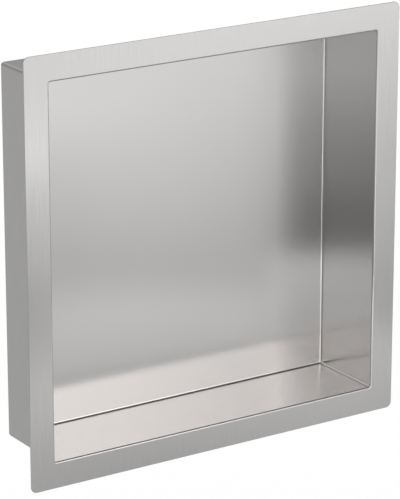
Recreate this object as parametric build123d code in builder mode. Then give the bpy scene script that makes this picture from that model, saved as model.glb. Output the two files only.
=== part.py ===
# Shower niche insert, one folded and welded sheet of brushed stainless steel.
# A shallow open box goes into a recess in the wall, and the flange round its mouth laps over
# the wall, where it is bedded in sealant.
# Millimetres. +X is to the right, +Y goes into the wall and +Z is up. Y = 0 is the wall's
# surface, and the origin is the middle of the recess there.
import os

from build123d import *

# Driving dimensions
box_width = 300.0            # outside of the box, side to side
box_height = 300.0           # outside of the box, bottom to top
box_depth = 70.0             # wall's surface to the outside of the back panel
sheet_thickness = 1.2
flange_lap = 20.0            # how far the flange reaches past the box on each side
flange_corner_radius = 5.0   # outer corners of the flange
fold_radius = 1.6            # inside of the back panel's folds and the welded corners
mouth_fold_radius = 0.3      # inside of the tighter fold from a wall to the flange
edge_radius = 0.3            # deburred cut edge round the flange
edge_share = 0.4             # most of the cut face that either of its two edges may round off

# The sheet keeps its thickness round a fold, so both sides of the fold share an axis.
fold_outside_radius = fold_radius + sheet_thickness
mouth_fold_outside_radius = mouth_fold_radius + sheet_thickness
flange_width = box_width + 2 * flange_lap
flange_height = box_height + 2 * flange_lap
mouth_width = box_width - 2 * sheet_thickness
mouth_height = box_height - 2 * sheet_thickness
deburr_radius = min(edge_radius, edge_share * sheet_thickness)

wall_surface = Plane.XZ                              # its normal points out of the wall, along -Y
flange_front = wall_surface.offset(sheet_thickness)
panel_back = wall_surface.offset(-box_depth)

with BuildPart() as niche_body:
    # Outside of the box: four walls folded forward from the back panel and welded where they meet
    with BuildSketch(panel_back):
        Rectangle(box_width, box_height)
    extrude(amount=box_depth)
    outside_corners = niche_body.edges().filter_by(Axis.Y)
    outside_panel_folds = niche_body.edges().group_by(Axis.Y)[-1]
    fillet(outside_corners + outside_panel_folds, radius=fold_outside_radius)

    # Flange against the wall, folded outward from the four walls, with its cut edge deburred
    with BuildSketch(wall_surface):
        RectangleRounded(flange_width, flange_height, flange_corner_radius)
    extrude(amount=sheet_thickness)
    flange_faces = niche_body.faces(Select.LAST).filter_by(Plane.XZ).sort_by(Axis.Y)
    cut_edges = flange_faces[0].outer_wire().edges() + flange_faces[-1].outer_wire().edges()
    outside_flange_folds = flange_faces[-1].inner_wires()[0].edges()
    fillet(outside_flange_folds, radius=mouth_fold_radius)
    fillet(cut_edges, radius=deburr_radius)

    # Inside of the box, open at the front, where the walls roll over into the flange
    with BuildSketch(flange_front):
        Rectangle(mouth_width, mouth_height)
    extrude(amount=-box_depth, mode=Mode.SUBTRACT)
    inside_corners = niche_body.edges(Select.LAST).filter_by(Axis.Y)
    inside_panel_folds = niche_body.edges(Select.LAST).group_by(Axis.Y)[-1]
    fillet(inside_corners + inside_panel_folds, radius=fold_radius)
    front_face = niche_body.faces().sort_by(Axis.Y)[0]
    fillet(front_face.inner_wires()[0].edges(), radius=mouth_fold_outside_radius)

os.makedirs("parts", exist_ok=True)
niche_body.part.label = "niche_body"
export_step(niche_body.part, "parts/niche_body.step")
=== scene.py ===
import math
import bpy
import bmesh
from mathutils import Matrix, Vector


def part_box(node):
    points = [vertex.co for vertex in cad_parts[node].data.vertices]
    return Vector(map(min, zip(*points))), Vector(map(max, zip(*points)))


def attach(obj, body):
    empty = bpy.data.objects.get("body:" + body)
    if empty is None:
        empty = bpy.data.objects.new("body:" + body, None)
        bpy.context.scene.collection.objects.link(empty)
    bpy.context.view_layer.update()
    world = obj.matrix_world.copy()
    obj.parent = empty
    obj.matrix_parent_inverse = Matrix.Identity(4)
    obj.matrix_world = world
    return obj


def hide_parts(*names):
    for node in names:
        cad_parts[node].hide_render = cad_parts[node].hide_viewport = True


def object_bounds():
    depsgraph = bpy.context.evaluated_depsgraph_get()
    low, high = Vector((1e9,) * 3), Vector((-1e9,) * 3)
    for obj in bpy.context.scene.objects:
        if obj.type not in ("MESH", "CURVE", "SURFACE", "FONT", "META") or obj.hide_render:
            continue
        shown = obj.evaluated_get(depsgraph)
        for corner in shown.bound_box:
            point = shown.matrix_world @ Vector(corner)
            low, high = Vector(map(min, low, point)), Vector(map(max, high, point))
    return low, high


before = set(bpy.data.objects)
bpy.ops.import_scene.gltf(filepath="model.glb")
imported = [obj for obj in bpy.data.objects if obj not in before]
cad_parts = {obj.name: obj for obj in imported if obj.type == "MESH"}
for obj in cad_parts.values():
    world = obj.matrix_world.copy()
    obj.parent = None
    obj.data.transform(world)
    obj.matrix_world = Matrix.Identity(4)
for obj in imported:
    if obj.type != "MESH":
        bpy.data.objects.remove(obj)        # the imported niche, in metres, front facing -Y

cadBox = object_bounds()     # bounds of the imported niche, in metres; the floor is set below its lowest point
millimetre = 0.001

# Sockets of a Mix node go by number, because its numbers and its colours have the same names
mixShare = 0
fromNumber, toNumber, mixedNumber = 2, 3, 0
fromColour, toColour, mixedColour = 6, 7, 2


def hexToLinear(hexColour):
    # sRGB to linear red, green and blue, with a full alpha as colour sockets want it
    channels = [int(hexColour[i:i + 2], 16) / 255 for i in (1, 3, 5)]
    return (*(c / 12.92 if c <= 0.04045 else ((c + 0.055) / 1.055) ** 2.4 for c in channels), 1.0)


def addNode(tree, kind, settings=None, links=None):
    # a setting goes to the node's own property of that name, or else to its input of that name or number
    node = tree.nodes.new(kind)
    for name, value in (settings or {}).items():
        if isinstance(name, str) and hasattr(node, name):
            setattr(node, name, value)
        else:
            node.inputs[name].default_value = value
    for name, source in (links or {}).items():
        tree.links.new(source, node.inputs[name])
    return node


def emptyTree(name):
    material = bpy.data.materials.new(name)
    material.use_nodes = True
    material.node_tree.nodes.clear()
    return material, material.node_tree


def addObject(name, data):
    thing = bpy.data.objects.new(name, data)
    bpy.context.scene.collection.objects.link(thing)
    return thing


# The sheet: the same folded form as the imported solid, with even quads and true fold normals
nicheSheet = {
    "thickness": 1.2,       # millimetres, as are all sizes here
    "flangeLap": 20.0,      # flange past the outside of the box
    "flangeCorner": 5.0,
    "foldInside": 1.6,      # inside radius of the back panel's folds and the welded corners
    "mouthInside": 0.3,     # inside radius of the fold from a wall to the flange
    "edgeRound": 0.3,       # deburred cut edge
    "foldSteps": 6,         # segments round a fold
    "edgeSteps": 3,         # segments round a deburred edge
    "cornerSteps": 8,       # segments round a corner, an even number
    "sideSteps": 24,        # segments along a side
    "wallSteps": 6,         # segments up a wall and across the flange
    "shortRun": 6.4,        # straight runs of the section up to this length aren't divided
    "insideGrain": 0.45,    # how much of the grain shows inside the box, which is ground finer
    "outsideGrain": 1.0,    # and on the flange and outside the box
    "weldGap": 0.001,       # points closer than this are one point
}
leafCount = 4               # right, top, left and bottom leaf of the blank


def foldRing(across, depth, radius, start, turn, steps, side):
    # points of a fold seen in section, turned about an axis at across and depth: how far out, how deep
    # and the direction the surface faces. Start and turn are degrees, where 0 is outward and 90 is into
    # the wall, and side is -1 in the hollow of the fold.
    ring = []
    for i in range(steps + 1):
        angle = math.radians(start + turn * i / steps)
        outward = math.cos(angle)
        inward = math.sin(angle)
        ring.append((across + radius * outward, depth + radius * inward, side * outward, side * inward))
    return ring


def sheetSection(sizes, halfBox, boxDepth):
    # from the inside of the back panel out to the flange's cut edge, and back along the outside
    thickness = sizes["thickness"]
    inside = sizes["foldInside"]
    outside = inside + thickness
    axisOut = halfBox - outside             # fold axis beside the back panel
    axisDeep = boxDepth - outside
    mouth = sizes["mouthInside"]
    mouthAxis = halfBox + mouth             # fold axis at the mouth
    edge = sizes["edgeRound"]
    edgeAxis = halfBox + sizes["flangeLap"] - edge
    foldSteps = sizes["foldSteps"]
    edgeSteps = sizes["edgeSteps"]
    front = foldRing(axisOut, axisDeep, inside, 90, -90, foldSteps, -1)
    front += foldRing(mouthAxis, mouth, mouth + thickness, 180, 90, foldSteps, 1)
    front += foldRing(edgeAxis, edge - thickness, edge, -90, 90, edgeSteps, 1)
    back = foldRing(edgeAxis, -edge, edge, 0, 90, edgeSteps, 1)
    back += foldRing(mouthAxis, mouth, mouth, 270, -90, foldSteps, -1)
    back += foldRing(axisOut, axisDeep, outside, 0, 90, foldSteps, 1)
    return front + back


def divideRuns(section, steps, shortRun):
    # adds even points on the long straight runs
    full = [section[0]]
    for before, after in zip(section, section[1:]):
        cuts = steps if math.dist(before[:2], after[:2]) > shortRun else 1
        for i in range(1, cuts + 1):
            share = i / cuts
            full.append(tuple(a + (b - a) * share for a, b in zip(before, after)))
    return full


def cornerRadius(across, sizes, halfBox):
    # corners of the box share an axis; the flange goes from that corner to its own larger one
    cornerAxis = halfBox - sizes["foldInside"] - sizes["thickness"]
    mouthEnd = halfBox + sizes["mouthInside"]
    rim = halfBox + sizes["flangeLap"]
    if across <= mouthEnd:
        return max(across - cornerAxis, 0.0)
    share = (across - mouthEnd) / (rim - mouthEnd)
    atMouth = mouthEnd - cornerAxis
    return atMouth + (sizes["flangeCorner"] - atMouth) * share


def ringPoints(across, radius, sizes):
    # one turn round the box in the X-Z plane: place, outward direction and which leaf of the blank
    sideSteps = sizes["sideSteps"]
    cornerSteps = sizes["cornerSteps"]
    straight = across - radius
    points = []
    quarterTurn = math.pi / 2
    for leaf in range(leafCount):
        middle = leaf * quarterTurn
        outward = Vector((math.cos(middle), math.sin(middle)))
        along = Vector((-math.sin(middle), math.cos(middle)))
        for i in range(sideSteps):
            alongShare = 2 * i / sideSteps - 1               # -1 at the start of the side, 0 at its middle
            place = outward * across + along * straight * alongShare
            points.append((place, outward, leaf))
        for i in range(cornerSteps):
            angle = middle + quarterTurn * i / cornerSteps
            direction = Vector((math.cos(angle), math.sin(angle)))
            place = (outward + along) * straight + direction * radius
            nearLeaf = leaf if i < cornerSteps // 2 else (leaf + 1) % leafCount
            points.append((place, direction, nearLeaf))
    return points


def addRings(shape, facing, section, sizes, halfBox, flangeStart):
    # a ring of points round the box for each point of the section
    burnishAndPaintedHighlight = shape.verts.layers.float["burnishAndPaintedHighlight"]
    grainShare = shape.verts.layers.float["grainShare"]
    flangeRow = next(row for row, point in enumerate(section) if point[0] > flangeStart)
    rings = []
    for row, (across, depth, outwardPart, inwardPart) in enumerate(section):
        ring = []
        for place, direction, leaf in ringPoints(across, cornerRadius(across, sizes, halfBox), sizes):
            vertex = shape.verts.new((place.x * millimetre, depth * millimetre, place.y * millimetre))
            # the back folds get the burnish mask, which smooths the metal and paints a highlight into its
            # colour
            vertex[burnishAndPaintedHighlight] = 1.0 if 0 < row < sizes["foldSteps"] else 0.0
            vertex[grainShare] = sizes["insideGrain"] if row < flangeRow else sizes["outsideGrain"]
            facing[vertex] = Vector((direction.x * outwardPart, inwardPart, direction.y * outwardPart))
            ring.append((vertex, leaf))
        rings.append(ring)
    return rings


def blankPlace(vertex, leaf, out):
    # place on the unfolded sheet, out metres from its middle along the right, top, left or bottom leaf
    x, z = vertex.co.x, vertex.co.z
    places = ((out, z), (x, out), (-out, z), (x, -out))
    return places[leaf]


def joinRings(shape, rings, section, flangeStart):
    # quads from ring to ring, each laid out on the unfolded sheet
    blank = shape.loops.layers.uv["flatBlank"]
    count = len(rings[0])
    out = section[0][0]
    for row in range(len(rings) - 1):
        nextOut = out + math.dist(section[row][:2], section[row + 1][:2])
        onFlange = min(section[row][0], section[row + 1][0]) > flangeStart
        for spot in range(count):
            nextSpot = (spot + 1) % count
            leaf = rings[row][spot][1]
            corners = (
                (rings[row + 1][spot][0], nextOut),
                (rings[row + 1][nextSpot][0], nextOut),
                (rings[row][nextSpot][0], out),
                (rings[row][spot][0], out),
            )
            face = shape.faces.new([vertex for vertex, _ in corners])
            for loop, (vertex, cornerOut) in zip(face.loops, corners):
                if onFlange:                                 # its four strips share one unbroken grain
                    loop[blank].uv = (vertex.co.x, vertex.co.z)
                else:
                    loop[blank].uv = blankPlace(vertex, leaf, cornerOut * millimetre)
        out = nextOut


def addPanel(shape, facing, ring, depth, way, grain, sizes):
    # one side of the back panel, as a grid between the straight stretches of a ring; it faces way along Y
    blank = shape.loops.layers.uv["flatBlank"]
    grainShare = shape.verts.layers.float["grainShare"]
    side = sizes["sideSteps"]
    leafSteps = side + sizes["cornerSteps"]
    stretches = []
    for leaf in range(leafCount):
        stretches.append([ring[(leaf * leafSteps + i) % len(ring)][0] for i in range(side + 1)])
    right, top, left, bottom = stretches
    grid = [[None] * (side + 1) for _ in range(side + 1)]
    for i in range(side + 1):
        grid[side][i] = right[i]
        grid[0][i] = left[side - i]
        grid[i][side] = top[side - i]
        grid[i][0] = bottom[i]
    for i in range(1, side):
        for j in range(1, side):
            vertex = shape.verts.new((bottom[i].co.x, depth * millimetre, right[j].co.z))
            vertex[grainShare] = grain
            facing[vertex] = Vector((0, way, 0))
            grid[i][j] = vertex
    for i in range(side):
        for j in range(side):
            corners = [grid[i][j], grid[i + 1][j], grid[i + 1][j + 1], grid[i][j + 1]]
            if way > 0:
                corners.reverse()
            face = shape.faces.new(corners)
            for loop in face.loops:
                loop[blank].uv = (loop.vert.co.x, loop.vert.co.z)


def buildSheet(sizes):
    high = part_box("niche_body")[1] / millimetre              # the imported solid's highest corner
    halfBox = high.x - sizes["flangeLap"]
    section = divideRuns(sheetSection(sizes, halfBox, high.y), sizes["wallSteps"], sizes["shortRun"])
    flangeStart = halfBox + sizes["mouthInside"] - sizes["edgeRound"] / 2    # just before the fold ends

    shape = bmesh.new()
    shape.loops.layers.uv.new("flatBlank")                   # place on the unfolded sheet, in metres
    shape.verts.layers.float.new("burnishAndPaintedHighlight")                  # 1 inside the back folds: smoother metal where the brake's punch rubbed the fold, with a painted highlight in its colour
    shape.verts.layers.float.new("grainShare")               # how much of the grain shows
    facing = {}                                              # which way the surface faces at each point
    rings = addRings(shape, facing, section, sizes, halfBox, flangeStart)
    joinRings(shape, rings, section, flangeStart)
    addPanel(shape, facing, rings[0], section[0][1], -1, sizes["insideGrain"], sizes)
    addPanel(shape, facing, rings[-1], section[-1][1], 1, sizes["outsideGrain"], sizes)
    # the corners' arcs close to a point at the panel
    bmesh.ops.remove_doubles(shape, verts=shape.verts[:], dist=sizes["weldGap"] * millimetre)

    shape.verts.index_update()
    normals = [facing[vertex].normalized() for vertex in shape.verts]
    mesh = bpy.data.meshes.new("nicheSheet")
    shape.to_mesh(mesh)
    shape.free()
    for face in mesh.polygons:
        face.use_smooth = True
    mesh.normals_split_custom_set_from_vertices(normals)
    print("sheet built,", len(mesh.polygons), "faces")
    return addObject("niche_sheet", mesh)


# Brushed stainless steel, belt-ground in one direction: lights smear across the grain and stay sharp
# along it
brushedStainless = {
    "light": "#DBDAD9",
    "dark": "#CDCCCB",
    "roughness": (0.20, 0.22),
    "anisotropy": 1.0,
    "paintedFoldHighlight": "#DEDDDB",     # a painted highlight: a lighter colour inside the back folds, where the punch pressed the grain flat
    "burnishedRoughness": 0.12,
    "grainWidth": 1.2,          # millimetres; coarser than real grit lines, as fine as a pixel shows
    "grainLength": 40.0,
    "grainLayers": 4.0,         # how often the grain is repeated at half the size
    "grainFade": 0.6,           # strength of each such layer beside the one before
    "evenGrain": 0.5,           # the grain's middle, which stands in for the part that doesn't show
    "bump": 0.004,              # millimetres
}


def makeBrushedStainless(finish):
    material, tree = emptyTree("brushed stainless steel")

    # grit lines, thin across the sheet and long up it
    blank = addNode(tree, "ShaderNodeUVMap", {"uv_map": "flatBlank"})
    fineness = (1 / (finish["grainWidth"] * millimetre), 1 / (finish["grainLength"] * millimetre), 1)
    grainPlace = addNode(tree, "ShaderNodeVectorMath", {"operation": "MULTIPLY", 1: fineness},
                         {0: blank.outputs["UV"]})
    pattern = {"noise_dimensions": "2D", "Scale": 1.0, "Detail": finish["grainLayers"],
               "Roughness": finish["grainFade"]}
    grain = addNode(tree, "ShaderNodeTexNoise", pattern, {"Vector": grainPlace.outputs[0]})
    share = addNode(tree, "ShaderNodeAttribute", {"attribute_name": "grainShare"})
    shown = addNode(tree, "ShaderNodeMix", {fromNumber: finish["evenGrain"]},
                    {mixShare: share.outputs["Fac"], toNumber: grain.outputs["Fac"]})
    shownGrain = shown.outputs[mixedNumber]
    bump = addNode(tree, "ShaderNodeBump", {"Strength": 1.0, "Distance": finish["bump"] * millimetre},
                   {"Height": shownGrain})

    # ground sheet, and the smoother metal inside the folds, with a painted highlight in its lighter colour
    dark = hexToLinear(finish["dark"])
    light = hexToLinear(finish["light"])
    paintedFoldHighlight = hexToLinear(finish["paintedFoldHighlight"])
    ground = addNode(tree, "ShaderNodeMix", {"data_type": "RGBA", fromColour: dark, toColour: light},
                     {mixShare: shownGrain})
    smoothest, roughest = finish["roughness"]
    groundRough = addNode(tree, "ShaderNodeMapRange", {"To Min": smoothest, "To Max": roughest},
                          {"Value": shownGrain})
    burnishAndHighlightMask = addNode(tree, "ShaderNodeAttribute", {"attribute_name": "burnishAndPaintedHighlight"})
    # painted highlight: the back folds take a lighter colour than the ground sheet
    colour = addNode(tree, "ShaderNodeMix", {"data_type": "RGBA", toColour: paintedFoldHighlight},
                     {mixShare: burnishAndHighlightMask.outputs["Fac"], fromColour: ground.outputs[mixedColour]})
    rough = addNode(tree, "ShaderNodeMix", {toNumber: finish["burnishedRoughness"]},
                    {mixShare: burnishAndHighlightMask.outputs["Fac"], fromNumber: groundRough.outputs[0]})

    across = addNode(tree, "ShaderNodeTangent", {"direction_type": "UV_MAP", "uv_map": "flatBlank"})
    metal = {"Metallic": 1.0, "Anisotropic": finish["anisotropy"]}
    steel = addNode(tree, "ShaderNodeBsdfPrincipled", metal,
                    {"Base Color": colour.outputs[mixedColour], "Roughness": rough.outputs[mixedNumber],
                     "Normal": bump.outputs[0], "Tangent": across.outputs[0]})
    addNode(tree, "ShaderNodeOutputMaterial", None, {"Surface": steel.outputs[0]})
    print("steel finished")
    return material


sheet = buildSheet(nicheSheet)
sheet.data.materials.append(makeBrushedStainless(brushedStainless))
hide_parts("niche_body")
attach(sheet, "root")

# Studio: a white floor well below the hung niche and a white surround
studio = {
    "floorDrop": 0.60,          # floor below the niche's lowest point, metres
    "floorSize": 24.0,
    "floorColour": "#FFFFFF",
    "surround": "#FFFFFF",
    "surroundStrength": 1.0,
    "lampColour": "#FFFBF9",    # the lit top of the scrims; below it they only bounce white
    "bounceColour": "#FFFFFF",
    "lampFoot": 0.10,           # metres above the niche's middle where the lit top starts
}
floorHeight = cadBox[0].z - studio["floorDrop"]


def levelMesh(name, reach, near, far, height):
    # a level rectangle that goes reach metres to either side
    mesh = bpy.data.meshes.new(name)
    corners = [(-reach, near, height), (reach, near, height), (reach, far, height), (-reach, far, height)]
    mesh.from_pydata(corners, [], [(0, 1, 2, 3)])
    return mesh


def makeFloor(room):
    # matt white paint, rolled on: an even white with no gloss
    material, tree = emptyTree("matt white paint")
    paint = addNode(tree, "ShaderNodeBsdfDiffuse", {"Color": hexToLinear(room["floorColour"])})
    addNode(tree, "ShaderNodeOutputMaterial", None, {"Surface": paint.outputs[0]})
    half = room["floorSize"] / 2
    floor = addObject("floor", levelMesh("floor", half, -half, half, floorHeight))
    floor.data.materials.append(material)


def makeSurround(room):
    world = bpy.data.worlds.new("white surround")
    bpy.context.scene.world = world
    world.use_nodes = True
    background = world.node_tree.nodes["Background"]
    background.inputs["Color"].default_value = hexToLinear(room["surround"])
    background.inputs["Strength"].default_value = room["surroundStrength"]


def makeGlow(name, bottom, top, stops):
    # woven scrim cloth, lit from behind: an even glow with no texture, whose brightness goes by height
    material, tree = emptyTree("lit scrim cloth " + name)
    brightest = max(brightness for _, brightness in stops)
    cloth = addNode(tree, "ShaderNodeUVMap", {"uv_map": "height"})
    height = addNode(tree, "ShaderNodeSeparateXYZ", None, {0: cloth.outputs["UV"]})
    ramp = addNode(tree, "ShaderNodeValToRGB", None, {"Fac": height.outputs[1]})
    marks = ramp.color_ramp.elements
    marks.remove(marks[1])
    for i, (z, brightness) in enumerate(stops):
        position = (z - bottom) / (top - bottom)
        mark = marks[0] if i == 0 else marks.new(position)
        mark.position = position
        tint = hexToLinear(studio["lampColour"] if z > studio["lampFoot"] else studio["bounceColour"])
        level = brightness / brightest
        mark.color = (*(level * part for part in tint[:3]), 1)
    glow = addNode(tree, "ShaderNodeEmission", {"Strength": brightest}, {"Color": ramp.outputs["Color"]})
    addNode(tree, "ShaderNodeOutputMaterial", None, {"Surface": glow.outputs[0]})
    return material


def showOnlyInReflections(name, mesh):
    # the steel reflects the card, and neither the camera nor the floor sees it
    card = addObject(name, mesh)
    card.visible_camera = False
    card.visible_diffuse = False
    card.visible_shadow = False


def addScrim(name, feet, bottom, top, stops):
    # an upright cloth over a line of feet on the floor plan
    corners = [(x, y, z) for x, y in feet for z in (bottom, top)]
    pieces = [(2 * i, 2 * i + 2, 2 * i + 3, 2 * i + 1) for i in range(len(feet) - 1)]
    mesh = bpy.data.meshes.new(name)
    mesh.from_pydata(corners, [], pieces)
    uv = mesh.uv_layers.new(name="height")
    for loop, corner in zip(mesh.loops, uv.data):
        corner.uv = (loop.vertex_index // 2, loop.vertex_index % 2)
    mesh.materials.append(makeGlow(name, bottom, top, stops))
    showOnlyInReflections(name, mesh)


# Scrims all round the niche. Each arc goes from and to so many degrees, where right of the front is plus,
# and its brightness goes by height in metres, where 1 is white.
scrims = {
    "radius": 1.0,              # metres from the niche
    "top": 0.65,
    "piece": 8.0,               # most degrees of a flat piece
    "arcs": {
        "left_grey": (-106, -60, ((0.0, 0.35),)),
        "left_gap": (-60, -41, ((-0.18, 0.40), (0.35, 1.20))),
        "left_edge": (-41, -25, ((-0.42, 1.45), (-0.18, 0.80), (0.15, 2.30))),
        "front_strips": (-25, 8, ((-0.50, 0.75), (-0.30, 2.20), (-0.08, 0.45), (0.20, 2.30), (0.50, 0.65))),
        "key_left": (8, 22, ((-0.60, 0.50), (-0.35, 0.90), (-0.15, 1.05), (0.05, 1.10), (0.20, 2.30))),
        "key_softbox": (22, 41, ((-0.60, 0.40), (-0.43, 0.95), (-0.39, 0.72), (-0.20, 1.20), (0.05, 1.10),
                                 (0.20, 2.30))),
        "right_edge": (41, 57, ((-0.43, 0.65), (-0.39, 0.35), (-0.20, 0.45), (0.05, 1.50), (0.20, 0.05))),
        "right_black": (57, 78, ((0.0, 0.15),)),
        "right_white": (78, 106, ((0.0, 1.50),)),
        "rear_right": (106, 180, ((0.0, 0.80), (0.45, 0.35))),
        "rear_left": (180, 254, ((-0.10, 0.52), (0.50, 0.30))),
    },
}


def makeScrims(cloths):
    radius = cloths["radius"]
    for name, (start, end, stops) in cloths["arcs"].items():
        count = math.ceil((end - start) / cloths["piece"])
        angles = [math.radians(start + (end - start) * i / count) for i in range(count + 1)]
        feet = [(radius * math.sin(angle), -radius * math.cos(angle)) for angle in angles]
        addScrim(name, feet, floorHeight, cloths["top"], stops)


# A dark flag close to the niche at the left: its lower edge makes the step of light on the right wall
flag = {
    "azimuth": -33.0,           # degrees, as on the scrims
    "foot": (-0.138, -0.335),   # metres, middle of the flag on the floor plan
    "width": 0.38,
    "stops": ((-0.213, 0.05), (-0.17, 0.05), (-0.09, 0.38), (-0.03, 0.80)),    # brightness by height
}


def makeFlag(card):
    turn = math.radians(card["azimuth"])
    x, y = card["foot"]
    reach = card["width"] / 2
    feet = [(x + side * reach * math.cos(turn), y + side * reach * math.sin(turn)) for side in (-1, 1)]
    bottom = card["stops"][0][0]
    top = card["stops"][-1][0]
    addScrim("flag", feet, bottom, top, card["stops"])


# A ceiling in three zones, dark in the middle, and a grey ground just above the floor
canopies = {
    "reach": 1.3,               # metres to either side
    "groundLift": 0.02,
    "ceiling": {                # front edge, back edge and brightness
        "ceiling_front": (-1.3, -0.7, 1.00),
        "ceiling_middle": (-0.7, 0.0, 0.20),
        "ceiling_rear": (0.0, 1.3, 0.60),
    },
    "ground": {
        "ground": (-1.3, 1.3, 0.45),
    },
}


def makeCanopies(cloths):
    heights = {"ceiling": scrims["top"], "ground": floorHeight + cloths["groundLift"]}
    for level, height in heights.items():
        for name, (near, far, brightness) in cloths[level].items():
            mesh = levelMesh(name, cloths["reach"], near, far, height)
            mesh.materials.append(makeGlow(name, 0, 1, ((0, brightness),)))
            showOnlyInReflections(name, mesh)


makeFloor(studio)
makeSurround(studio)
makeScrims(scrims)
makeFlag(flag)
makeCanopies(canopies)
print("studio ready")

# Camera: to the left of the niche and above it, as the photograph was taken
viewpoint = {
    "place": (-1.145, -1.723, 0.657),
    "turn": 33.22,              # degrees to the right of straight at the wall
    "tilt": -17.75,             # degrees, where minus is downward
    "lens": 202.9,              # millimetres
    "sensor": 36.0,             # millimetres along the picture's long side
}


def makeCamera(view):
    camera = bpy.data.cameras.new("camera")
    camera.lens = view["lens"]
    camera.sensor_width = view["sensor"]
    eye = addObject("camera", camera)
    eye.location = view["place"]
    # a camera that isn't turned looks straight down
    eye.rotation_euler = (math.radians(90 + view["tilt"]), 0, -math.radians(view["turn"]))
    bpy.context.scene.camera = eye
    print("camera placed")


makeCamera(viewpoint)
bpy.context.scene.view_settings.view_transform = "Standard"
